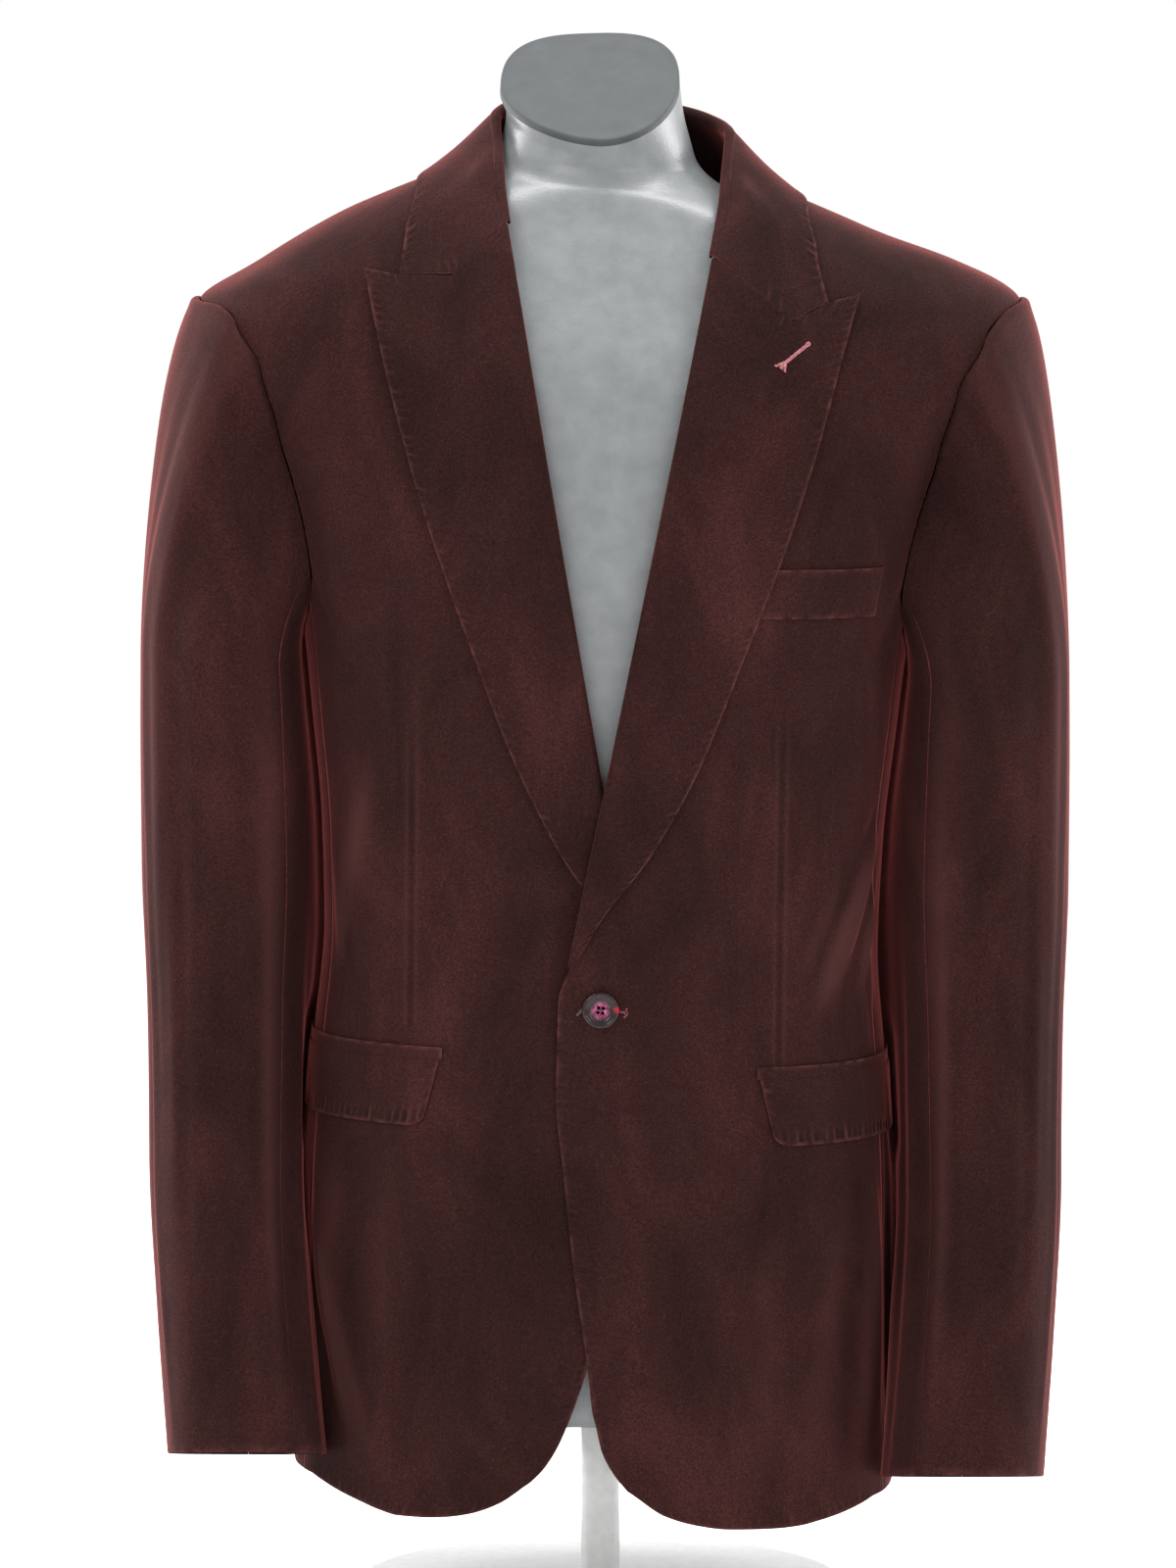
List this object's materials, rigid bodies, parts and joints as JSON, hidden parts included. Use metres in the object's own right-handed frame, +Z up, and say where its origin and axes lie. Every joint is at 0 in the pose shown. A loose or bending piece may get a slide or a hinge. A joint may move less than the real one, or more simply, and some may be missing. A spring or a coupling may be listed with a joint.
{
  "type": "velvet jacket on a dress form",
  "caption": "Burgundy velvet single-breasted jacket with peaked lapels and flap pockets, buttoned on a limbless dress form with a short pole and a round base.",
  "frame": {"origin": "centre of the stand base's underside", "axes": "+Z up, the jacket's front faces -Y, the wearer's left is +X"},
  "size_m": [0.522, 0.28, 0.8878],
  "materials": {
    "velvet": "cotton velvet with a soft sheen",
    "button_resin": "polished, marbled",
    "form_skin": "satin, fine grain",
    "cap_face": "matte",
    "enamelled_steel": "satin white enamel"
  },
  "bodies": {
    "root": {"front_left": "velvet", "front_right": "velvet", "side_left": "velvet", "side_right": "velvet", "back_left": "velvet", "back_right": "velvet", "lapel_left": "velvet", "lapel_right": "velvet", "collar": "velvet", "top_sleeve_left": "velvet", "top_sleeve_right": "velvet", "under_sleeve_left": "velvet", "under_sleeve_right": "velvet", "pocket_flap_left": "velvet", "pocket_flap_right": "velvet", "pocket_jet_left": "velvet", "pocket_jet_right": "velvet", "breast_welt": "velvet", "front_button": "button_resin", "dress_form": "form_skin", "neck_cap": "cap_face", "stand_pole": "enamelled_steel", "stand_base": "enamelled_steel"}
  },
  "joints": []
}
